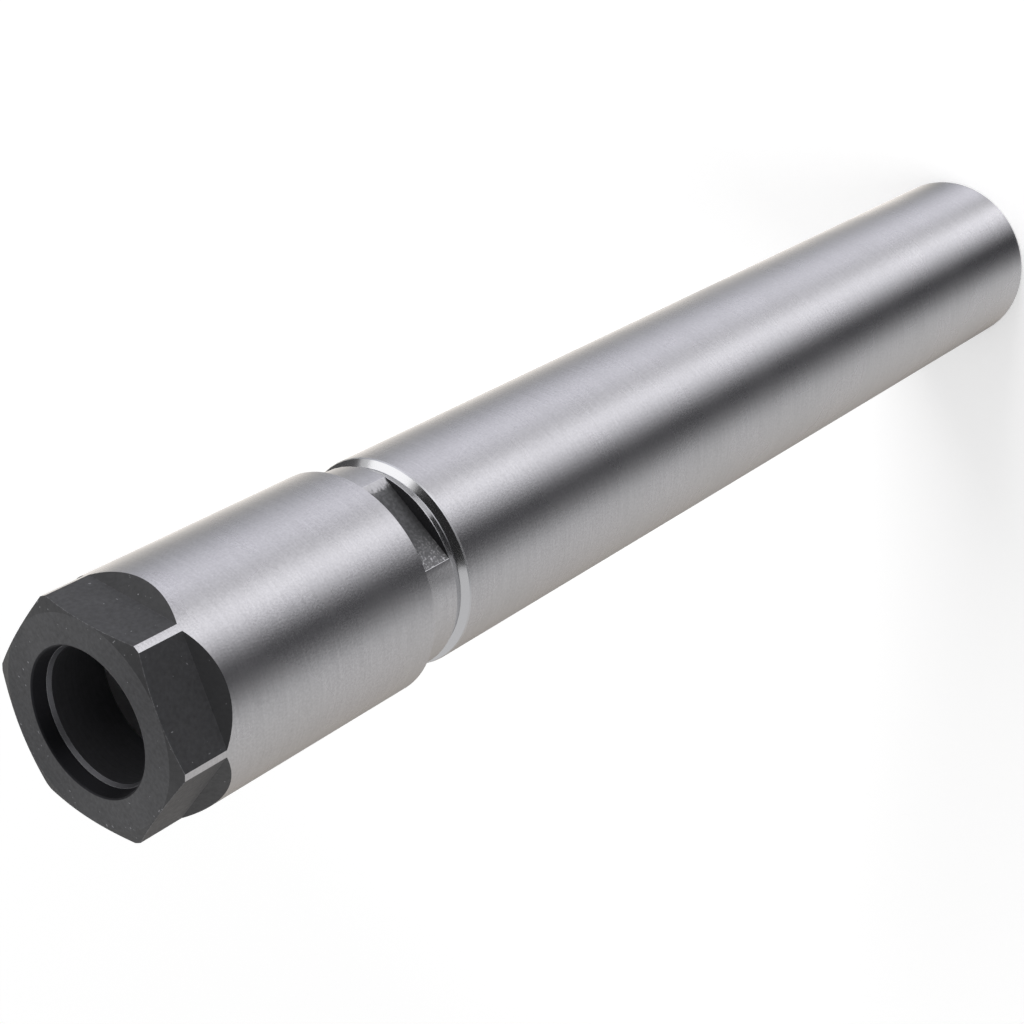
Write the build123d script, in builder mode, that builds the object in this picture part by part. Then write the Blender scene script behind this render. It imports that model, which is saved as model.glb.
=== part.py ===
from build123d import *
import math
import os

# A straight-shank collet chuck holder, standing on the rear end of its shank, nose up.
# Sizes are in millimetres. z = 0 is the rear face of the shank and +Z runs along the axis
# towards the nose.

# ground shank
shank_diameter = 25.4
shank_length = 136.3
shank_rear_chamfer = 0.3
shank_edge_length = 0.2
shank_edge_drop = 0.08

# turned groove between the shank and the neck
groove_depth = 0.5
groove_wall_length = 0.55
groove_floor_length = 0.15
groove_ramp_length = 1.1

# neck with its two spanner flats
neck_step = 0.3
neck_length = 8.5
spanner_flat_depth = 1.5
spanner_flat_length = 7.5
spanner_flat_land = 0.1

# external thread, drawn as a plain cylinder at its pitch diameter
thread_step = 1.0
thread_pitch = 1.5
thread_length = 18.7
thread_relief_length = 1.8
thread_relief_depth = 1.1
pilot_wall = 1.2
pilot_length = 4.0
pilot_chamfer = 0.4

# collet seat inside the front of the body
seat_mouth_diameter = 19.6
seat_mouth_length = 7.5
seat_mouth_chamfer = 0.35
seat_angle = 8.0
seat_length = 15.3
seat_relief_length = 0.9

# stop screw and the bores behind the seat
stop_screw_diameter = 14.0
stop_screw_length = 12.0
stop_screw_drop = 18.5
stop_screw_socket = 6.0
stop_screw_dish_diameter = 9.6
stop_screw_dish_depth = 1.5
stop_screw_chamfer = 0.6
stop_bore_length = 41.5
rear_bore_diameter = 12.7
rear_bore_chamfer = 1.0

# nosepiece, a sleeve nut with a hexagonal front end
skirt_wall = 1.1
nut_length = 38.0
nut_rear_chamfer = 0.25
hex_flat_depth = 1.6
hex_length = 6.2
hex_turn = 2.2
nose_chamfer_length = 0.55
nose_mouth_step = 0.66
nose_mouth_taper = 0.36
nose_mouth_chamfer = 0.15
nose_wall = 1.6
nut_relief_step = 0.15
nut_thread_depth = 13.5
nut_thread_length = 13.5
nut_bore_chamfer = 0.4

# thrust ring that floats in the nose: sleeve, flange and boss from front to rear
ring_throat_step = 2.1
ring_throat_chamfer = 0.25
ring_throat_chamfer_length = 0.45
ring_wall = 0.9
ring_sleeve_length = 4.45
ring_flange_step = 0.8
ring_flange_length = 1.6
ring_boss_step = 0.2
ring_boss_length = 2.2
ring_edge_chamfer = 0.2

# retaining ring, a flat open ring sprung into a groove behind the flange
snap_ring_thickness = 0.9
snap_ring_width = 1.25
snap_ring_gap = 3.0
snap_groove_depth = 0.6

# clearances
seat_gap = 0.1
ring_gap = 0.05
ring_clearance = 0.12
snap_ring_clearance = 0.1
thread_clearance = 0.1
skirt_clearance = 0.1
stop_screw_clearance = 0.08

# heights along the axis, each one from the sizes above
groove_floor_z = shank_length + shank_edge_length + groove_wall_length
groove_ramp_z = groove_floor_z + groove_floor_length
neck_z = groove_ramp_z + groove_ramp_length
relief_z = neck_z + neck_length
thread_z = relief_z + thread_relief_length
pilot_z = thread_z + thread_length
body_front_z = pilot_z + pilot_length
seat_top_z = body_front_z - seat_mouth_length
seat_bottom_z = seat_top_z - seat_length
stop_bore_z = seat_bottom_z - seat_relief_length
rear_bore_z = stop_bore_z - stop_bore_length
ring_rear_z = body_front_z + seat_gap
flange_rear_z = ring_rear_z + ring_boss_length
flange_front_z = flange_rear_z + ring_flange_length
ring_front_z = flange_front_z + ring_sleeve_length
snap_ring_front_z = flange_rear_z - ring_gap
snap_ring_rear_z = snap_ring_front_z - snap_ring_thickness
nose_wall_z = ring_front_z + ring_gap
nose_face_z = nose_wall_z + nose_wall
nut_rear_z = nose_face_z - nut_length
nut_thread_top_z = nose_face_z - nut_thread_depth
nut_thread_bottom_z = nut_thread_top_z - nut_thread_length

# radii, from the collet outwards, so that pieces that fit one another move together
seat_slope = math.tan(math.radians(seat_angle))
seat_mouth_radius = seat_mouth_diameter / 2
seat_bottom_radius = seat_mouth_radius - seat_length * seat_slope
stop_bore_radius = stop_screw_diameter / 2
pilot_radius = seat_mouth_radius + pilot_wall
thread_radius = pilot_radius + thread_step
thread_pitch_radius = thread_radius - 0.325 * thread_pitch
neck_radius = thread_radius + neck_step
spanner_across = 2 * (neck_radius - spanner_flat_depth)
groove_radius = neck_radius - groove_depth
skirt_radius = neck_radius + skirt_clearance
nut_radius = skirt_radius + skirt_wall
hex_apothem = nut_radius - hex_flat_depth
throat_radius = seat_mouth_radius - ring_throat_step
throat_z = ring_front_z - ring_throat_chamfer_length
cone_rear_radius = throat_radius + (throat_z - ring_rear_z) * seat_slope
ring_sleeve_radius = cone_rear_radius + ring_wall
ring_flange_radius = ring_sleeve_radius + ring_flange_step
ring_boss_radius = ring_sleeve_radius - ring_boss_step
ring_housing_radius = ring_flange_radius + ring_clearance
snap_groove_radius = ring_housing_radius + snap_groove_depth
nose_mouth_radius = throat_radius + nose_mouth_step

os.makedirs("parts", exist_ok=True)


# chuck body: one turned bar with the shank, groove, neck, thread and pilot on the outside
with BuildPart() as chuck_body:
    with BuildSketch(Plane.XY):
        Circle(shank_diameter / 2)
    extrude(amount=shank_length)
    chamfer(chuck_body.edges().group_by(Axis.Z)[0], shank_rear_chamfer)

    # polished edge, groove and neck, turned as one profile
    with BuildSketch(Plane.XZ):
        with BuildLine():
            Polyline(
                (0, shank_length),
                (shank_diameter / 2, shank_length),
                (shank_diameter / 2 - shank_edge_drop, shank_length + shank_edge_length),
                (groove_radius, groove_floor_z),
                (groove_radius, groove_ramp_z),
                (neck_radius, neck_z),
                (neck_radius, relief_z),
                (0, relief_z),
                close=True,
            )
        make_face()
    revolve(axis=Axis.Z)

    # run-out relief, thread and pilot in front of the neck
    with BuildSketch(Plane.XY.offset(relief_z)):
        Circle(thread_radius - thread_relief_depth)
    extrude(amount=thread_relief_length)
    with BuildSketch(Plane.XY.offset(thread_z)):
        Circle(thread_pitch_radius)
    extrude(amount=thread_length)
    with BuildSketch(Plane.XY.offset(pilot_z)):
        Circle(pilot_radius)
    extrude(amount=pilot_length)
    chamfer(chuck_body.edges().group_by(Axis.Z)[-1], pilot_chamfer)

    # two opposite spanner flats, square at both ends
    flat_cut_depth = spanner_flat_depth + 1
    with BuildSketch(Plane.XY.offset(neck_z + spanner_flat_land)):
        with GridLocations(0, spanner_across + flat_cut_depth, 1, 2):
            Rectangle(2 * neck_radius, flat_cut_depth)
    extrude(amount=spanner_flat_length, mode=Mode.SUBTRACT)

    # cylindrical mouth and tapered seat for the collet
    with BuildSketch(Plane.XZ):
        with BuildLine():
            Polyline(
                (0, stop_bore_z),
                (seat_bottom_radius, stop_bore_z),
                (seat_bottom_radius, seat_bottom_z),
                (seat_mouth_radius, seat_top_z),
                (seat_mouth_radius, body_front_z - seat_mouth_chamfer),
                (seat_mouth_radius + seat_mouth_chamfer, body_front_z),
                (0, body_front_z),
                close=True,
            )
        make_face()
    revolve(axis=Axis.Z, mode=Mode.SUBTRACT)

    # tapped bore for the stop screw, then the bore that runs out through the rear end
    with BuildSketch(Plane.XY.offset(rear_bore_z)):
        Circle(stop_bore_radius)
    extrude(amount=stop_bore_length, mode=Mode.SUBTRACT)
    with BuildSketch(Plane.XY):
        Circle(rear_bore_diameter / 2)
    extrude(amount=rear_bore_z, mode=Mode.SUBTRACT)
    rear_face_circles = chuck_body.edges().filter_by(GeomType.CIRCLE).group_by(Axis.Z)[0]
    chamfer(rear_face_circles.sort_by(SortBy.RADIUS)[0], rear_bore_chamfer)

chuck_body.part.label = "chuck_body"
export_step(chuck_body.part, "parts/chuck_body.step")


# nosepiece: a long sleeve nut, ground outside, with a short hexagon at the front
hex_planes = []
for side in range(6):
    side_angle = math.radians(hex_turn + 60 * side)
    side_direction = (math.cos(side_angle), math.sin(side_angle), 0)
    across_direction = (math.sin(side_angle), -math.cos(side_angle), 0)
    hex_planes.append(Plane(origin=(0, 0, nose_face_z), x_dir=side_direction, z_dir=across_direction))

with BuildPart() as nosepiece:
    with BuildSketch(Plane.XY.offset(nut_rear_z)):
        Circle(nut_radius)
    extrude(amount=nut_length)
    chamfer(nosepiece.edges().group_by(Axis.Z)[0], nut_rear_chamfer)

    # shallow cone that breaks the corners of the hexagon and meets the flats at the nose face
    with BuildSketch(Plane.XZ):
        with BuildLine():
            Polyline(
                (hex_apothem, nose_face_z),
                (nut_radius + 1, nose_face_z),
                (nut_radius + 1, nose_face_z - nose_chamfer_length),
                (nut_radius, nose_face_z - nose_chamfer_length),
                close=True,
            )
        make_face()
    revolve(axis=Axis.Z, mode=Mode.SUBTRACT)

    # six flats, each with a run-out at 45 degrees up to the ground diameter
    cut_reach = hex_flat_depth + 1
    with BuildSketch(*hex_planes):
        with BuildLine():
            Polyline(
                (hex_apothem, 1),
                (hex_apothem, -hex_length),
                (hex_apothem + cut_reach, -hex_length - cut_reach),
                (hex_apothem + cut_reach, 1),
                close=True,
            )
        make_face()
    extrude(amount=nut_radius, both=True, mode=Mode.SUBTRACT)

    # stepped bore from the rear: skirt, thread, relief and the housing of the ring
    snap_groove_front_z = snap_ring_front_z + ring_gap
    snap_groove_rear_z = snap_ring_rear_z - ring_gap
    relief_front_z = ring_rear_z + ring_boss_step
    stepped_bores = [
        (skirt_radius, nut_rear_z, nut_thread_bottom_z),
        (thread_pitch_radius + thread_clearance, nut_thread_bottom_z, nut_thread_top_z),
        (thread_radius + nut_relief_step, nut_thread_top_z, relief_front_z),
        (ring_housing_radius, relief_front_z, flange_front_z + ring_gap),
        (snap_groove_radius, snap_groove_rear_z, snap_groove_front_z),
        (ring_sleeve_radius + ring_clearance, flange_front_z + ring_gap, nose_wall_z),
    ]
    for bore_radius, low_z, high_z in stepped_bores:
        with BuildSketch(Plane.XY.offset(low_z)):
            Circle(bore_radius)
        extrude(amount=high_z - low_z, mode=Mode.SUBTRACT)

    # nose mouth, a shallow cone that narrows towards the ring
    with BuildSketch(Plane.XZ):
        with BuildLine():
            Polyline(
                (0, nose_wall_z),
                (nose_mouth_radius - nose_mouth_taper, nose_wall_z),
                (nose_mouth_radius, nose_face_z),
                (0, nose_face_z),
                close=True,
            )
        make_face()
    revolve(axis=Axis.Z, mode=Mode.SUBTRACT)
    nose_circles = nosepiece.edges().filter_by(GeomType.CIRCLE).group_by(Axis.Z)[-1]
    chamfer(nose_circles.sort_by(SortBy.RADIUS)[0], nose_mouth_chamfer)
    rear_circles = nosepiece.edges().filter_by(GeomType.CIRCLE).group_by(Axis.Z)[0]
    chamfer(rear_circles.sort_by(SortBy.RADIUS)[0], nut_bore_chamfer)

nosepiece.part.label = "nosepiece"
export_step(nosepiece.part, "parts/nosepiece.step")


# thrust ring: the hardened cone that pushes on the collet while the nut turns round it
with BuildPart() as thrust_ring:
    with BuildSketch(Plane.XY.offset(ring_rear_z)):
        Circle(ring_boss_radius)
    extrude(amount=ring_boss_length)
    with BuildSketch(Plane.XY.offset(flange_rear_z)):
        Circle(ring_flange_radius)
    extrude(amount=ring_flange_length)
    with BuildSketch(Plane.XY.offset(flange_front_z)):
        Circle(ring_sleeve_radius)
    extrude(amount=ring_sleeve_length)
    chamfer(thrust_ring.edges().group_by(Axis.Z)[0], ring_edge_chamfer)
    chamfer(thrust_ring.edges().group_by(Axis.Z)[-1], ring_edge_chamfer)

    # cone that opens towards the collet, with a broken edge at the throat
    with BuildSketch(Plane.XZ):
        with BuildLine():
            Polyline(
                (0, ring_rear_z),
                (cone_rear_radius, ring_rear_z),
                (throat_radius, throat_z),
                (throat_radius + ring_throat_chamfer, ring_front_z),
                (0, ring_front_z),
                close=True,
            )
        make_face()
    revolve(axis=Axis.Z, mode=Mode.SUBTRACT)

thrust_ring.part.label = "thrust_ring"
export_step(thrust_ring.part, "parts/thrust_ring.step")


# retaining ring: an open flat ring in the nut's groove, which keeps the thrust ring in
snap_ring_radius = snap_groove_radius - snap_ring_clearance
with BuildPart() as retaining_ring:
    with BuildSketch(Plane.XY.offset(snap_ring_rear_z)):
        Circle(snap_ring_radius)
        Circle(snap_ring_radius - snap_ring_width, mode=Mode.SUBTRACT)
        with Locations((0, snap_ring_radius)):
            Rectangle(snap_ring_gap, 2 * snap_ring_radius, mode=Mode.SUBTRACT)
    extrude(amount=snap_ring_thickness)

retaining_ring.part.label = "retaining_ring"
export_step(retaining_ring.part, "parts/retaining_ring.step")


# stop screw: a hollow socket screw in the tapped bore behind the seat
stop_screw_top_z = stop_bore_z - stop_screw_drop
stop_screw_bottom_z = stop_screw_top_z - stop_screw_length
with BuildPart() as stop_screw:
    with BuildSketch(Plane.XY.offset(stop_screw_bottom_z)):
        Circle(stop_bore_radius - stop_screw_clearance)
    extrude(amount=stop_screw_length)
    chamfer(stop_screw.edges().filter_by(GeomType.CIRCLE), stop_screw_chamfer)
    with BuildSketch(Plane.XZ):
        with BuildLine():
            Polyline(
                (0, stop_screw_top_z - stop_screw_dish_depth),
                (stop_screw_socket / 2, stop_screw_top_z - stop_screw_dish_depth),
                (stop_screw_dish_diameter / 2, stop_screw_top_z),
                (0, stop_screw_top_z),
                close=True,
            )
        make_face()
    revolve(axis=Axis.Z, mode=Mode.SUBTRACT)
    with BuildSketch(Plane.XY.offset(stop_screw_bottom_z)):
        RegularPolygon(stop_screw_socket / 2, 6, major_radius=False)
    extrude(amount=stop_screw_length, mode=Mode.SUBTRACT)

stop_screw.part.label = "stop_screw"
export_step(stop_screw.part, "parts/stop_screw.step")
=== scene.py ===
import bpy
import math
from mathutils import Matrix, Vector


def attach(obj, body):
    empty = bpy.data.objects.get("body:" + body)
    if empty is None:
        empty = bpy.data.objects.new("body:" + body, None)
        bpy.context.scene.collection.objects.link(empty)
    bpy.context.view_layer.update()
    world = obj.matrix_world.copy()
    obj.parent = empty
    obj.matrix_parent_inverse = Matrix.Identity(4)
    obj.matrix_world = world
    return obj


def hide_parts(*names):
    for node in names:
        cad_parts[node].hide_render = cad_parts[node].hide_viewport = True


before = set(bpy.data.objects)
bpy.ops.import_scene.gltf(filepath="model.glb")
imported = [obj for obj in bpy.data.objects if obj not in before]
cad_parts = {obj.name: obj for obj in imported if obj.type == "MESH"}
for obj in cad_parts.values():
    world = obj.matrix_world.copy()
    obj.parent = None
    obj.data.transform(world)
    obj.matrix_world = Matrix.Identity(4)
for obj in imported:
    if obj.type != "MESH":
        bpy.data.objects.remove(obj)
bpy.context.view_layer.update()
print("frame loaded:", sorted(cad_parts))

mm = 0.001


def colour(code):  # sRGB hex to linear
    parts = [int(code[i:i + 2], 16) / 255 for i in (1, 3, 5)]
    return [p / 12.92 if p <= 0.04045 else ((p + 0.055) / 1.055) ** 2.4 for p in parts] + [1.0]


def addNode(tree, kind, inputs=(), **settings):  # a node given as an input stands for its first output
    node = tree.nodes.new(kind)
    for name, value in settings.items():
        setattr(node, name, value)
    for socket, value in inputs.items() if isinstance(inputs, dict) else enumerate(inputs):
        if isinstance(value, bpy.types.Node):
            value = value.outputs[0]
        if isinstance(value, bpy.types.NodeSocket):
            tree.links.new(value, node.inputs[socket])
        else:
            node.inputs[socket].default_value = value
    return node


def newMaterial(name):
    material = bpy.data.materials.new(name)
    material.use_nodes = True
    material.node_tree.nodes.clear()
    return material, material.node_tree


# The body with its thread cut, which the CAD draws as a plain cylinder at the pitch diameter.
threadValues = {
    "rear": 148.6, "front": 167.3,  # mm, from the rear face
    "drawn": 11.5125,  # mm, radius, as the next three
    "root": 11.02,
    "crest": 11.57,  # clear of the nut's plain bore of 11.61
    "foot": 10.85,  # sunk under the root
    "crestHalf": 0.2, "footHalf": 0.62,  # mm, half the ridge's width there
    "pitch": 1.5, "turns": 15, "steps": 96,
    "shift": 0.0037,  # mm, keeps the ridge's corners off the planes that cut it
    "near": 0.01,  # mm, how closely the drawn circles are picked
    "smoothAngle": 15,
}


def onlyActive(piece):
    bpy.ops.object.select_all(action="DESELECT")
    piece.select_set(True)
    bpy.context.view_layer.objects.active = piece


def makeThreadCore(v):  # the CAD body, with the drawn thread turned down to its root
    core = bpy.data.objects.new("threadedBody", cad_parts["chuck_body"].data.copy())
    bpy.context.scene.collection.objects.link(core)
    onlyActive(core)
    bpy.ops.object.mode_set(mode="EDIT")
    bpy.ops.mesh.select_all(action="SELECT")
    bpy.ops.mesh.remove_doubles(threshold=1e-6)
    bpy.ops.mesh.customdata_custom_splitnormals_clear()
    bpy.ops.mesh.select_all(action="DESELECT")
    bpy.ops.mesh.select_mode(type="VERT")
    bpy.ops.object.mode_set(mode="OBJECT")
    for vertex in core.data.vertices:
        radius, height = math.hypot(vertex.co.x, vertex.co.y) / mm, vertex.co.z / mm
        atEnd = min(abs(height - v["rear"]), abs(height - v["front"])) < v["near"]
        vertex.select = atEnd and abs(radius - v["drawn"]) < v["near"]
    bpy.ops.object.mode_set(mode="EDIT")
    smaller = v["root"] / v["drawn"]
    bpy.ops.transform.resize(value=(smaller, smaller, 1), center_override=(0, 0, 0))
    bpy.ops.object.mode_set(mode="OBJECT")
    return core


def makeThreadRidge(v):  # its profile is screwed up the bar and cut off square at both ends
    bpy.ops.object.select_all(action="DESELECT")
    start = v["rear"] - v["pitch"] + v["shift"]
    bpy.ops.mesh.primitive_plane_add(size=2 * mm, location=(0, 0, 0))
    ridge = bpy.context.object
    ridge.name = "threadRidge"
    profile = ((v["foot"], -v["footHalf"]), (v["crest"], -v["crestHalf"]),
               (v["foot"], v["footHalf"]), (v["crest"], v["crestHalf"]))
    for vertex, (radius, height) in zip(ridge.data.vertices, profile):
        vertex.co = (radius * mm, 0, (start + height) * mm)
    bpy.ops.object.mode_set(mode="EDIT")
    bpy.ops.mesh.select_all(action="SELECT")
    bpy.ops.mesh.delete(type="ONLY_FACE")
    bpy.ops.object.mode_set(mode="OBJECT")
    screw = ridge.modifiers.new("screw", "SCREW")
    screw.axis = "Z"
    screw.screw_offset = v["pitch"] * mm
    screw.iterations = v["turns"]
    screw.steps = screw.render_steps = v["steps"]
    screw.use_merge_vertices = False
    bpy.ops.object.modifier_apply(modifier="screw")
    bpy.ops.object.mode_set(mode="EDIT")
    for height, isRear in ((v["rear"], True), (v["front"], False)):
        bpy.ops.mesh.select_all(action="SELECT")
        bpy.ops.mesh.bisect(plane_co=(0, 0, height * mm), plane_no=(0, 0, 1), use_fill=True,
                            clear_inner=isRear, clear_outer=not isRear, threshold=1e-7)
    bpy.ops.mesh.select_all(action="SELECT")
    bpy.ops.mesh.normals_make_consistent(inside=False)
    bpy.ops.object.mode_set(mode="OBJECT")
    return ridge


def makeThreadedBody(v):
    core = makeThreadCore(v)
    ridge = makeThreadRidge(v)
    onlyActive(core)
    ridge.select_set(True)
    bpy.ops.object.join()
    bpy.ops.object.shade_smooth_by_angle(angle=math.radians(v["smoothAngle"]))
    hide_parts("chuck_body")
    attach(core, "body")
    print("thread cut:", len(core.data.polygons), "faces")
    return core


threadedBody = makeThreadedBody(threadValues)

# camera
cameraValues = {
    "spot": (-46.071, -175.470, 294.992),  # mm
    "aim": (-1.833, 0.461, 114.512),
    "up": (0.76837, -0.54214, -0.34014),
    "lens": 73.58, "sensor": 36,
    "clipStart": 0.01,  # m
}


def setCamera(v):
    camera = bpy.data.objects.new("camera", bpy.data.cameras.new("camera"))
    bpy.context.scene.collection.objects.link(camera)
    camera.data.lens = v["lens"]
    camera.data.sensor_width = v["sensor"]
    camera.data.clip_start = v["clipStart"]
    spot = Vector(v["spot"]) * mm
    back = (spot - Vector(v["aim"]) * mm).normalized()
    right = Vector(v["up"]).cross(back).normalized()
    up = back.cross(right)
    place = Matrix((right, up, back)).transposed().to_4x4()
    place.translation = spot
    camera.matrix_world = place
    bpy.context.scene.camera = camera


setCamera(cameraValues)
bpy.context.scene.view_settings.view_transform = "Standard"
print("camera set")

# floor, world and lamps
studioValues = {
    "floorSize": 6.0,  # m
    "floorWhite": "#f7f7f7",
    "glowStart": 0.25, "glowStop": 1.0,  # m from the holder, where the lamps' light on the floor fades
    "floorGlow": 0.2, "floorGlowFar": 0.47,
    "ambient": 0.6,
    "middle": 0.09,  # m over the floor, what lamps and cards face
    # azimuth and height in degrees, distance and size in m, power in W
    "lamps": {"keyLamp": (325, 48, 0.9, 0.45, 3.2), "fillLamp": (212, 28, 0.9, 0.6, 2.0)},
}


def raysThatSee(tree):  # 1 for camera, glossy and transmission rays
    path = addNode(tree, "ShaderNodeLightPath").outputs
    seen = addNode(tree, "ShaderNodeMath", (path["Is Camera Ray"], path["Is Glossy Ray"]), operation="ADD")
    return addNode(tree, "ShaderNodeMath", (seen, path["Is Transmission Ray"]), operation="ADD",
                   use_clamp=True)


def setWorld(v):
    world = bpy.data.worlds.new("studio")
    bpy.context.scene.world = world
    world.use_nodes = True
    tree = world.node_tree
    tree.nodes.clear()
    strength = addNode(tree, "ShaderNodeMapRange", (raysThatSee(tree), 0.0, 1.0, v["ambient"], 1.0))
    sky = addNode(tree, "ShaderNodeBackground", {"Color": (1, 1, 1, 1), "Strength": strength})
    addNode(tree, "ShaderNodeOutputWorld", {"Surface": sky})


def makeFloor(v):
    bpy.ops.object.select_all(action="DESELECT")
    bpy.ops.mesh.primitive_plane_add(size=v["floorSize"], location=(0, 0, 0))
    floor = bpy.context.object
    floor.name = "floor"
    material, tree = newMaterial("floor_paper")
    where = addNode(tree, "ShaderNodeTexCoord").outputs["Object"]
    reach = addNode(tree, "ShaderNodeVectorMath", (where,), operation="LENGTH").outputs["Value"]
    glow = addNode(tree, "ShaderNodeMapRange",
                   (reach, v["glowStart"], v["glowStop"], v["floorGlow"], v["floorGlowFar"]))
    glow = addNode(tree, "ShaderNodeMath", (raysThatSee(tree), glow), operation="MULTIPLY")
    paper = addNode(tree, "ShaderNodeBsdfDiffuse", {"Color": colour(v["floorWhite"])})
    light = addNode(tree, "ShaderNodeEmission", {"Strength": glow})
    surface = addNode(tree, "ShaderNodeAddShader", (paper, light))
    addNode(tree, "ShaderNodeOutputMaterial", {"Surface": surface})
    floor.data.materials.append(material)


def towards(azimuth, height, distance, middle):  # a place round the holder, and the turn that faces it
    turn, rise = math.radians(azimuth), math.radians(height)
    direction = Vector((math.cos(turn) * math.cos(rise), math.sin(turn) * math.cos(rise), math.sin(rise)))
    return direction * distance + Vector((0, 0, middle)), direction.to_track_quat("Z", "Y").to_euler()


def addLamp(name, azimuth, height, distance, size, power):  # the metal mirrors the glowing bowl and cards instead, its painted reflections
    lamp = bpy.data.objects.new(name, bpy.data.lights.new(name, "AREA"))
    bpy.context.scene.collection.objects.link(lamp)
    lamp.data.size = size
    lamp.data.energy = power
    lamp.visible_glossy = False
    lamp.location, lamp.rotation_euler = towards(azimuth, height, distance, studioValues["middle"])


# Painted reflections on the metal: a shallow bowl of glowing light and dark bands round the foot, and
# glowing cards over the holder, all seen in gloss alone.
bowlValues = {
    "foot": 12.8, "radius": 900.0, "rim": 190.0, "lift": 0.1,  # mm
    "sides": 180,
    "front": 255.3,  # degrees, towards the camera
    "bar": 12.7,  # mm, the shank's radius
    "gain": 2.0,
    "warmRed": 0.06, "warmBlue": 0.07,
    # the painted reflection bands, by the azimuth of the shank that mirrors each: azimuth, brightness,
    # warmth
    "paintedBands": {
        "leftEdge": (168, 0.3, 1.0), "leftGrey": (184, 0.6, 1.0), "leftLight": (222, 0.9, 0.0),
        "darkStrip": (239, 0.2, -0.5), "greyRise": (252, 0.4, -0.5), "brightStrip": (268, 1.8, -0.5),
        "greyGap": (280, 1.1, -0.5), "softStrip": (293, 1.4, -1.0), "rightGrey": (318, 0.6, 0.0),
        "rightLight": (342, 1.7, 1.0),
    },
}

# glowing cards seen in gloss alone: painted highlights and dark reflections on the metal
cardValues = {
    "distance": 0.5,  # m
    "sides": 64,
    # azimuth and height in degrees, radius in m, brightness
    "cards": {
        "darkFlag": (262, 50, 0.36, 0.04), "brightCard": (349, 46, 0.15, 2.1),
        "greyFlag": (26, 20, 0.14, 0.12), "lowCard": (288, 27, 0.11, 2.0),
        "sideCard": (322, 29, 0.13, 1.3),
    },
}


def onlyMirrored(card):  # seen in gloss alone, so it lights nothing and throws no shadow
    card.visible_camera = False
    card.visible_diffuse = False
    card.visible_shadow = False
    card.visible_transmission = False


def makeCard(name, azimuth, height, radius, tone, v):
    spot, turn = towards(azimuth, height, v["distance"], studioValues["middle"])
    bpy.ops.object.select_all(action="DESELECT")
    bpy.ops.mesh.primitive_circle_add(vertices=v["sides"], radius=radius, fill_type="NGON",
                                      location=spot, rotation=turn)
    card = bpy.context.object
    card.name = name
    material, tree = newMaterial(name + "_painted_reflection")
    light = addNode(tree, "ShaderNodeEmission", {"Strength": tone})
    addNode(tree, "ShaderNodeOutputMaterial", {"Surface": light})
    card.data.materials.append(material)
    onlyMirrored(card)


def bowlPaintedReflection(v):
    material, tree = newMaterial("bowl_painted_reflection")
    where = addNode(tree, "ShaderNodeTexCoord").outputs["Object"]
    spot = addNode(tree, "ShaderNodeVectorMath", (where, (1 / mm, 1 / mm, 0)), operation="MULTIPLY")
    turned = addNode(tree, "ShaderNodeVectorRotate", {"Vector": spot, "Angle": math.radians(-v["front"])},
                     rotation_type="Z_AXIS")
    axes = addNode(tree, "ShaderNodeSeparateXYZ", (turned,)).outputs
    turn = addNode(tree, "ShaderNodeMath", (axes["Y"], axes["X"]), operation="ARCTAN2")
    reach = addNode(tree, "ShaderNodeVectorMath", (spot,), operation="LENGTH").outputs["Value"]
    # the bar mirrors the far bowl at twice its own azimuth, and the near bowl at less
    times = addNode(tree, "ShaderNodeMath", (v["bar"], reach), operation="DIVIDE")
    times = addNode(tree, "ShaderNodeMath", (2.0, times), operation="SUBTRACT")
    turn = addNode(tree, "ShaderNodeMath", (turn, times), operation="DIVIDE")
    share = addNode(tree, "ShaderNodeMapRange", (turn, -math.pi / 2, math.pi / 2))
    ramp = addNode(tree, "ShaderNodeValToRGB", (share,))
    ramp.color_ramp.interpolation = "CARDINAL"
    stops = ramp.color_ramp.elements
    for i, (azimuth, tone, warmth) in enumerate(v["paintedBands"].values()):
        place = (azimuth - v["front"]) / 180 + 0.5
        stop = stops[0] if i == 0 else stops.new(place)
        stop.position = place
        tone = tone / v["gain"]
        red, blue = 1 + v["warmRed"] * max(warmth, 0), 1 - v["warmBlue"] * warmth
        stop.color = (tone * red, tone, tone * blue, 1)
    stops.remove(stops[-1])  # the second stop that a new ramp has
    light = addNode(tree, "ShaderNodeEmission", {"Color": ramp, "Strength": v["gain"]})
    addNode(tree, "ShaderNodeOutputMaterial", {"Surface": light})
    return material


def makeBowl(v):
    bpy.ops.object.select_all(action="DESELECT")
    bpy.ops.mesh.primitive_circle_add(vertices=v["sides"], radius=v["foot"] * mm, fill_type="NOTHING",
                                      location=(0, 0, v["lift"] * mm))
    bowl = bpy.context.object
    bowl.name = "reflectionBowl"
    bpy.ops.object.transform_apply(location=True, rotation=True, scale=True)
    bpy.ops.object.mode_set(mode="EDIT")
    bpy.ops.mesh.select_all(action="SELECT")
    bpy.ops.mesh.extrude_edges_move(TRANSFORM_OT_translate={"value": (0, 0, v["rim"] * mm)})
    wider = v["radius"] / v["foot"]
    bpy.ops.transform.resize(value=(wider, wider, 1), center_override=(0, 0, 0))
    bpy.ops.object.mode_set(mode="OBJECT")
    bowl.data.materials.append(bowlPaintedReflection(v))
    onlyMirrored(bowl)


setWorld(studioValues)
makeFloor(studioValues)
makeBowl(bowlValues)
for name, values in cardValues["cards"].items():
    makeCard(name, *values, cardValues)
for name, values in studioValues["lamps"].items():
    addLamp(name, *values)
print("studio built")


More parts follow.
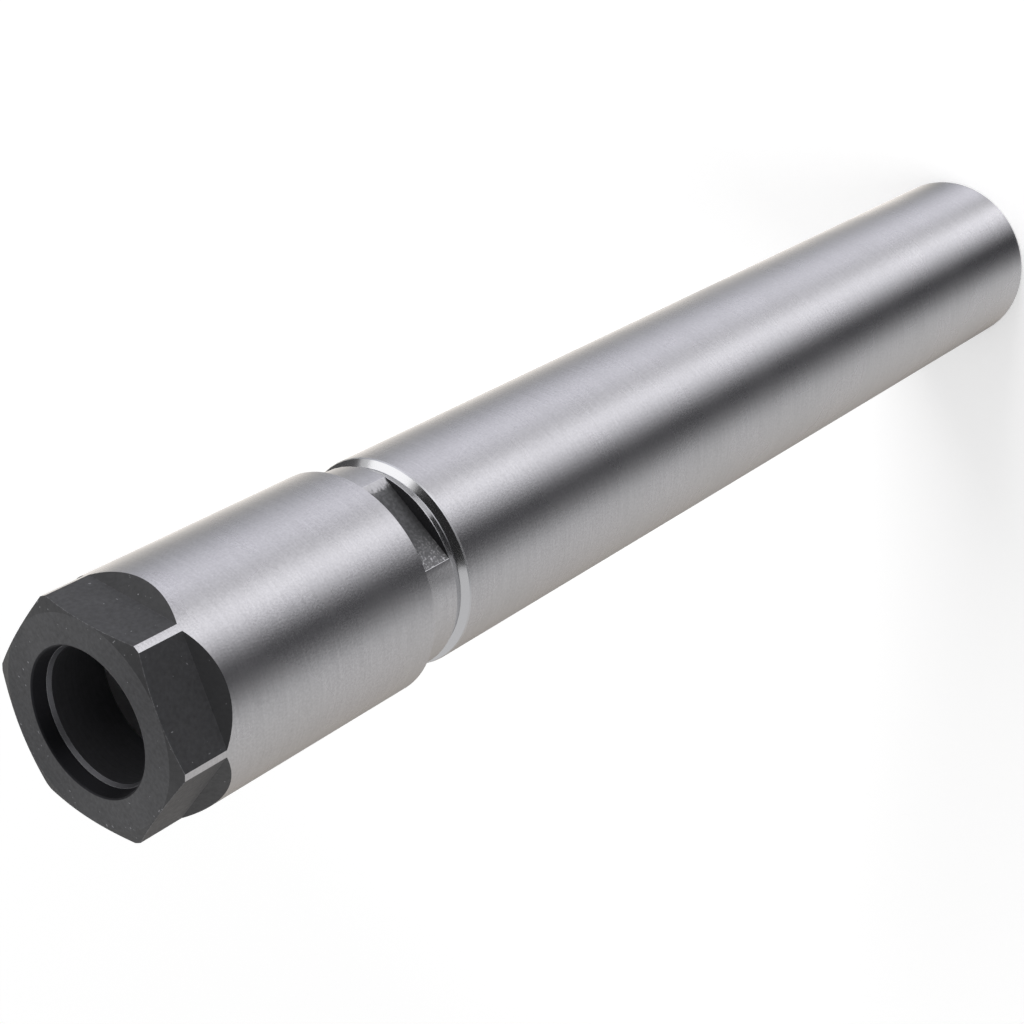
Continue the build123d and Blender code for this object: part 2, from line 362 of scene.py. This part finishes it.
# materials
def placeInMm(tree):  # object coordinates in mm, and tilt: 1 facing outward, 0 along the axis
    where = addNode(tree, "ShaderNodeTexCoord").outputs
    spot = addNode(tree, "ShaderNodeVectorMath", {0: where["Object"], "Scale": 1 / mm}, operation="SCALE")
    flat = addNode(tree, "ShaderNodeVectorMath", (spot, (1, 1, 0)), operation="MULTIPLY")
    outward = addNode(tree, "ShaderNodeVectorMath", (flat,), operation="NORMALIZE")
    tilt = addNode(tree, "ShaderNodeVectorMath", (outward, where["Normal"]), operation="DOT_PRODUCT")
    axes = addNode(tree, "ShaderNodeSeparateXYZ", (spot,)).outputs
    return {
        "spot": spot,
        "across": axes["X"], "depth": axes["Y"], "height": axes["Z"],
        "radius": addNode(tree, "ShaderNodeVectorMath", (flat,), operation="LENGTH").outputs["Value"],
        "tilt": tilt.outputs["Value"],
    }


def findZones(tree, place, table):  # a zone is the most of its parts, and a part the product of its steps
    zones = {}
    for name, parts in table.items():
        most = None
        for steps in parts:
            share = None
            for measure, *ends in steps:
                ends = ends if len(ends) == 4 else ends + [0.0, 1.0]
                step = addNode(tree, "ShaderNodeMapRange", (place[measure], *ends),
                               interpolation_type="SMOOTHSTEP")
                if share:
                    step = addNode(tree, "ShaderNodeMath", (share, step), operation="MULTIPLY")
                share = step
            if most:
                share = addNode(tree, "ShaderNodeMath", (most, share), operation="MAXIMUM")
            most = share
        zones[name] = most
    return zones


def edgeFold(tree, width, samples):  # 1 on a plain face, and less within that width in mm of a fold
    rounded = addNode(tree, "ShaderNodeBevel", {"Radius": width * mm}, samples=samples)
    facing = addNode(tree, "ShaderNodeNewGeometry").outputs["True Normal"]
    return addNode(tree, "ShaderNodeVectorMath", (rounded, facing), operation="DOT_PRODUCT").outputs["Value"]


# Alloy steel, ground round the bar: a satin grey with faint marks, whose highlights spread along the bar.
steelValues = {
    "light": "#bab9bb", "dark": "#99989a",
    "groove": "#b2b2b4", "seat": "#c6c6c8",
    "roughness": 0.26, "smudged": 0.31, "polished": 0.17, "seatRough": 0.5,
    "spread": 0.6, "spreadTurn": 0.25,
    "specular": 0.6,
    "streakAround": 6.0, "streakAlong": 0.3,  # mm, coarser than real grinding marks so that they show
    "speck": 0.26, "speckShare": 0.6,  # mm, and its share of the grain
    "grainRange": (0.1, 0.9),
    "smudge": 11.0, "smudgeRange": (0.4, 0.7),  # mm
    "markHeight": 0.012, "grooveMarks": 0.1,  # mm, and the share of it left in the groove
}

# Black oxide on milled steel: a thin skin, nearly black with a soft sheen, worn grey on edges and by hands.
oxideValues = {
    "light": "#303033", "dark": "#1e1e20",
    # the next line holds painted shade: a darker colour for the flats' corner and the nut's slopes, and one
    # for bores and recesses
    "shade": "#161618", "bore": "#2a2a2d",
    "handled": "#525255", "handledPatch": (0.3, 0.8, 0.4, 1.0),
    "worn": "#6a6a6d", "wornWidth": 0.12, "wornSamples": 4,  # mm
    "wornFold": (0.99, 0.9), "wornPatch": (0.42, 0.62, 0.2, 0.8),
    "spark": "#7a7a7e", "sparkSize": 0.36, "sparkRange": (0.815, 0.86, 0.0, 0.7),  # mm
    "mottle": 0.45, "cloud": 3.5, "cloudShare": 0.3,  # mm, and the cloud's share of the skin
    "skinRange": (0.25, 0.75),
    "roughRange": (0.66, 0.54),
}


def steelGrain(tree, spot, v):  # 0 to 1: streaks round the axis and fine specks
    stretch = (1 / v["streakAround"], 1 / v["streakAround"], 1 / v["streakAlong"])
    along = addNode(tree, "ShaderNodeVectorMath", (spot, stretch), operation="MULTIPLY")
    streak = addNode(tree, "ShaderNodeTexNoise", {"Vector": along, "Scale": 1.0, "Detail": 2.0})
    speck = addNode(tree, "ShaderNodeTexNoise", {"Vector": spot, "Scale": 1 / v["speck"], "Detail": 1.0})
    grain = addNode(tree, "ShaderNodeMix", {0: v["speckShare"], 2: streak, 3: speck}, data_type="FLOAT")
    return addNode(tree, "ShaderNodeMapRange", (grain, *v["grainRange"]))


def oxideSkin(tree, spot, v):  # the fine mottle alone, and mottle with slow clouds, 0 to 1
    mottle = addNode(tree, "ShaderNodeTexNoise", {"Vector": spot, "Scale": 1 / v["mottle"], "Detail": 2.0})
    cloud = addNode(tree, "ShaderNodeTexNoise", {"Vector": spot, "Scale": 1 / v["cloud"], "Detail": 2.0})
    skin = addNode(tree, "ShaderNodeMix", {0: v["cloudShare"], 2: mottle, 3: cloud}, data_type="FLOAT")
    return mottle, addNode(tree, "ShaderNodeMapRange", (skin, *v["skinRange"]))


def oxideWear(tree, mottle, skin, zones, v):  # shares handled and worn
    held = addNode(tree, "ShaderNodeMapRange", (skin, *v["handledPatch"]), interpolation_type="SMOOTHSTEP")
    held = addNode(tree, "ShaderNodeMath", (zones.get("handled", 0.0), held), operation="MULTIPLY")
    fold = edgeFold(tree, v["wornWidth"], v["wornSamples"])
    worn = addNode(tree, "ShaderNodeMapRange", (fold, *v["wornFold"]), interpolation_type="SMOOTHSTEP")
    patch = addNode(tree, "ShaderNodeMapRange", (mottle, *v["wornPatch"]), interpolation_type="SMOOTHSTEP")
    worn = addNode(tree, "ShaderNodeMath", (worn, patch), operation="MULTIPLY")
    return held, addNode(tree, "ShaderNodeMath", (worn, zones["edge"]), operation="MULTIPLY")


def steelAndOxide(tree, place, zones):
    steel, oxide, spot = steelValues, oxideValues, place["spot"]
    isSteel, isGroove, isSeat = zones["steel"], zones.get("groove", 0.0), zones.get("seat", 0.0)
    grain = steelGrain(tree, spot, steel)
    mottle, skin = oxideSkin(tree, spot, oxide)
    held, worn = oxideWear(tree, mottle, skin, zones, oxide)
    spark = addNode(tree, "ShaderNodeTexNoise",
                    {"Vector": spot, "Scale": 1 / oxide["sparkSize"], "Detail": 0.0})
    spark = addNode(tree, "ShaderNodeMapRange", (spark, *oxide["sparkRange"]),
                    interpolation_type="SMOOTHSTEP")

    bright, black = colour(steel["dark"]), colour(oxide["dark"])
    for share, paint in ((grain, "light"), (isGroove, "groove"), (isSeat, "seat")):
        bright = addNode(tree, "ShaderNodeMix", {0: share, 6: bright, 7: colour(steel[paint])},
                         data_type="RGBA").outputs[2]
    for share, paint in ((skin, "light"), (held, "handled"), (zones["shade"], "shade"),
                         (worn, "worn"), (spark, "spark"), (zones["bore"], "bore")):
        black = addNode(tree, "ShaderNodeMix", {0: share, 6: black, 7: colour(oxide[paint])},
                        data_type="RGBA").outputs[2]
    base = addNode(tree, "ShaderNodeMix", {0: isSteel, 6: black, 7: bright}, data_type="RGBA").outputs[2]
    # bores and recesses are made metal too, so that their painted shade mirrors little and stays dark
    metal = addNode(tree, "ShaderNodeMath", (isSteel, zones["bore"]), operation="MAXIMUM")

    rough = addNode(tree, "ShaderNodeTexNoise",
                    {"Vector": spot, "Scale": 1 / steel["smudge"], "Detail": 2.0})
    rough = addNode(tree, "ShaderNodeMapRange",
                    (rough, *steel["smudgeRange"], steel["roughness"], steel["smudged"]))
    for share, value in ((isGroove, steel["polished"]), (isSeat, steel["seatRough"])):
        rough = addNode(tree, "ShaderNodeMix", {0: share, 2: rough, 3: value}, data_type="FLOAT")
    skinRough = addNode(tree, "ShaderNodeMapRange", (skin, 0.0, 1.0, *oxide["roughRange"]))
    rough = addNode(tree, "ShaderNodeMix", {0: isSteel, 2: skinRough, 3: rough}, data_type="FLOAT")

    relief = addNode(tree, "ShaderNodeMix", {0: isSteel, 2: skin, 3: grain}, data_type="FLOAT")
    marks = addNode(tree, "ShaderNodeMapRange", (isGroove, 0.0, 1.0, 1.0, steel["grooveMarks"]),
                    interpolation_type="SMOOTHSTEP")
    relief = addNode(tree, "ShaderNodeMath", (relief, marks), operation="MULTIPLY")
    bump = addNode(tree, "ShaderNodeBump",
                   {"Strength": 1.0, "Distance": steel["markHeight"] * mm, "Height": relief})
    tangent = addNode(tree, "ShaderNodeTangent", direction_type="RADIAL", axis="Z")
    surface = addNode(tree, "ShaderNodeBsdfPrincipled", {
        "Base Color": base, "Metallic": metal, "Roughness": rough, "Normal": bump, "Tangent": tangent,
        "Anisotropic": steel["spread"], "Anisotropic Rotation": steel["spreadTurn"],
        "Specular IOR Level": steel["specular"]})
    addNode(tree, "ShaderNodeOutputMaterial", {"Surface": surface})


# The body: ground shank and neck, polished groove, oxide on the milled flats, the thread and all the bores.
bodyZones = {  # soft steps: measure, start, stop and, if not 0 and 1, the shares there; mm
    "steel": (
        (("height", 138.36, 138.34), ("radius", 11.35, 11.45)),  # shank and groove
        (("height", 0.02, 0.01),),  # rear face
        (("height", 138.34, 138.36), ("radius", 12.255, 12.285)),  # neck
        (("height", 148.4, 148.5), ("radius", 10.3, 10.2)),  # seat
    ),
    "groove": ((("height", 138.36, 138.34), ("height", 136.27, 136.33)),),
    "seat": ((("height", 148.4, 148.5), ("radius", 10.3, 10.2)),),
    "bore": (
        (("height", 138.35, 138.38), ("height", 138.47, 138.42, 0.0, 0.6)),  # painted shade on the step behind the flats
        # painted shade down all the body's bores
        (("radius", 10.4, 10.2),),
    ),
    "edge": (
        (("radius", 11.46, 11.56), ("radius", 11.7, 11.65), ("height", 138.34, 138.36)),  # thread crests
        (("radius", 11.9, 12.1, 0.0, 0.5),),
    ),
    "shade": ((("height", 140.55, 138.45, 0.0, 0.7),),),  # painted shade, darker deep in the flats' corner
    "handled": ((("radius", 10.75, 10.79), ("height", 146.6, 146.0)),),
    "flat": ((("radius", 10.75, 10.79), ("height", 138.40, 138.47), ("height", 146.6, 146.0)),),
}

# What the spanner has done to each flat: one end scraped bare in streaks, the other speckled.
spannerValues = {
    "scraped": (5.65, 6.55, 0.0, 0.85),  # mm from the middle of the flat, then the shares there
    "streakShift": 1.6, "speckShift": 0.9,  # mm by which streaks and specks fray that edge
    "streak": (0.9, 1.0, 0.55), "speck": 0.3,  # mm
    "speckled": (-0.5, -7.0),  # mm from the middle of the flat
    "speckRange": (0.5, 0.68, 0.16, 0.85),
}


def spannerWear(tree, place, v):  # 0 to 1, where the steel is bare
    spot, stretch = place["spot"], tuple(1 / size for size in v["streak"])
    streak = addNode(tree, "ShaderNodeVectorMath", (spot, stretch), operation="MULTIPLY")
    streak = addNode(tree, "ShaderNodeTexNoise", {"Vector": streak, "Scale": 1.0, "Detail": 2.0})
    speck = addNode(tree, "ShaderNodeTexNoise", {"Vector": spot, "Scale": 1 / v["speck"], "Detail": 1.0})
    side = addNode(tree, "ShaderNodeMath", (place["depth"],), operation="SIGN")
    side = addNode(tree, "ShaderNodeMath", (side, -1.0), operation="MULTIPLY")
    side = addNode(tree, "ShaderNodeMath", (side, place["across"]), operation="MULTIPLY")
    reach = addNode(tree, "ShaderNodeMath", (streak, v["streakShift"], side), operation="MULTIPLY_ADD")
    reach = addNode(tree, "ShaderNodeMath", (speck, v["speckShift"], reach), operation="MULTIPLY_ADD")
    scraped = addNode(tree, "ShaderNodeMapRange", (reach, *v["scraped"]), interpolation_type="SMOOTHSTEP")
    atEnd = addNode(tree, "ShaderNodeMapRange", (side, *v["speckled"]), interpolation_type="SMOOTHSTEP")
    dotted = addNode(tree, "ShaderNodeMapRange", (speck, *v["speckRange"]), interpolation_type="SMOOTHSTEP")
    dotted = addNode(tree, "ShaderNodeMath", (atEnd, dotted), operation="MULTIPLY")
    return addNode(tree, "ShaderNodeMath", (scraped, dotted), operation="MAXIMUM")


def bodySteel():
    material, tree = newMaterial("ground_steel_with_black_oxide_flats")
    place = placeInMm(tree)
    zones = findZones(tree, place, bodyZones)
    bare = spannerWear(tree, place, spannerValues)
    bare = addNode(tree, "ShaderNodeMath", (bare, zones["flat"]), operation="MULTIPLY")
    zones["steel"] = addNode(tree, "ShaderNodeMath", (zones["steel"], bare), operation="MAXIMUM")
    steelAndOxide(tree, place, zones)
    return material


# The nut: ground outside after blackening, so the hexagon, the mouth and the inside keep the oxide.
nutZones = {
    "steel": ((("radius", 13.3, 13.4), ("tilt", 0.93, 0.96)),),
    "shade": ((("tilt", 0.12, 0.2), ("tilt", 0.8, 0.72), ("height", 173.0, 173.1, 0.0, 0.75)),),  # painted shade, darker on the chamfer and run-out slopes
    # painted shade down the nut's bore
    "bore": ((("radius", 8.52, 8.44),),),
    "edge": ((("height", 175.6, 175.9, 0.15, 1.0), ("radius", 9.0, 9.5)),),
}


def nutSteel():
    material, tree = newMaterial("black_oxide_steel_ground_outside")
    place = placeInMm(tree)
    steelAndOxide(tree, place, findZones(tree, place, nutZones))
    return material


# Hardened ring, turned and blackened: the oxide is thin and oiled, so it gleams dully down the bore.
ringValues = {
    "metallic": 0.75, "light": "#5c5c60", "dark": "#464649", "worn": "#aaaaae",
    "roughRange": (0.55, 0.35), "mottle": 0.5, "turning": 0.25,  # mm
}

# Sprung ring of phosphated strip: dull dark grey, as the coating is a fine crystal.
springValues = {
    "metallic": 0.0, "light": "#3a3a3c", "dark": "#29292b", "worn": "#808083",
    "roughRange": (0.7, 0.5), "mottle": 0.3, "turning": 0.4,
}

# Socket screw with the black oxide of bought screws: smoother and darker than on the milled flats.
screwValues = {
    "metallic": 0.0, "light": "#2b2b2e", "dark": "#1b1b1d", "worn": "#7c7c80",
    "roughRange": (0.58, 0.38), "mottle": 0.5, "turning": 0.3,
}

# what the three small pieces share
smallValues = {
    "turningShare": 0.5,
    "wornWidth": 0.1, "wornSamples": 6, "wornFold": (0.995, 0.9, 0.0, 0.6),  # mm
    "markHeight": 0.006,  # mm
}


def blackenedSteel(name, v, shared):
    material, tree = newMaterial(name)
    place = placeInMm(tree)
    speck = addNode(tree, "ShaderNodeTexNoise",
                    {"Vector": place["spot"], "Scale": 1 / v["mottle"], "Detail": 2.0})
    rings = addNode(tree, "ShaderNodeCombineXYZ", (place["radius"], place["height"]))
    rings = addNode(tree, "ShaderNodeTexNoise", {"Vector": rings, "Scale": 1 / v["turning"], "Detail": 1.0})
    skin = addNode(tree, "ShaderNodeMix", {0: shared["turningShare"], 2: speck, 3: rings}, data_type="FLOAT")
    fold = edgeFold(tree, shared["wornWidth"], shared["wornSamples"])
    worn = addNode(tree, "ShaderNodeMapRange", (fold, *shared["wornFold"]), interpolation_type="SMOOTHSTEP")
    tone = colour(v["dark"])
    for share, paint in ((skin, "light"), (worn, "worn")):
        tone = addNode(tree, "ShaderNodeMix", {0: share, 6: tone, 7: colour(v[paint])},
                       data_type="RGBA").outputs[2]
    rough = addNode(tree, "ShaderNodeMapRange", (skin, 0.0, 1.0, *v["roughRange"]))
    bump = addNode(tree, "ShaderNodeBump",
                   {"Strength": 1.0, "Distance": shared["markHeight"] * mm, "Height": skin})
    surface = addNode(tree, "ShaderNodeBsdfPrincipled",
                      {"Base Color": tone, "Metallic": v["metallic"], "Roughness": rough, "Normal": bump})
    addNode(tree, "ShaderNodeOutputMaterial", {"Surface": surface})
    return material


def giveMaterial(piece, material):
    piece.data.materials.clear()
    piece.data.materials.append(material)


bodyMaterial = bodySteel()
giveMaterial(threadedBody, bodyMaterial)
giveMaterial(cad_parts["chuck_body"], bodyMaterial)
giveMaterial(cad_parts["nosepiece"], nutSteel())
for node, name, values in (("thrust_ring", "oiled_black_oxide_on_hardened_steel", ringValues),
                           ("retaining_ring", "phosphated_spring_steel", springValues),
                           ("stop_screw", "black_oxide_alloy_screw_steel", screwValues)):
    giveMaterial(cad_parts[node], blackenedSteel(name, values, smallValues))
print("materials given")
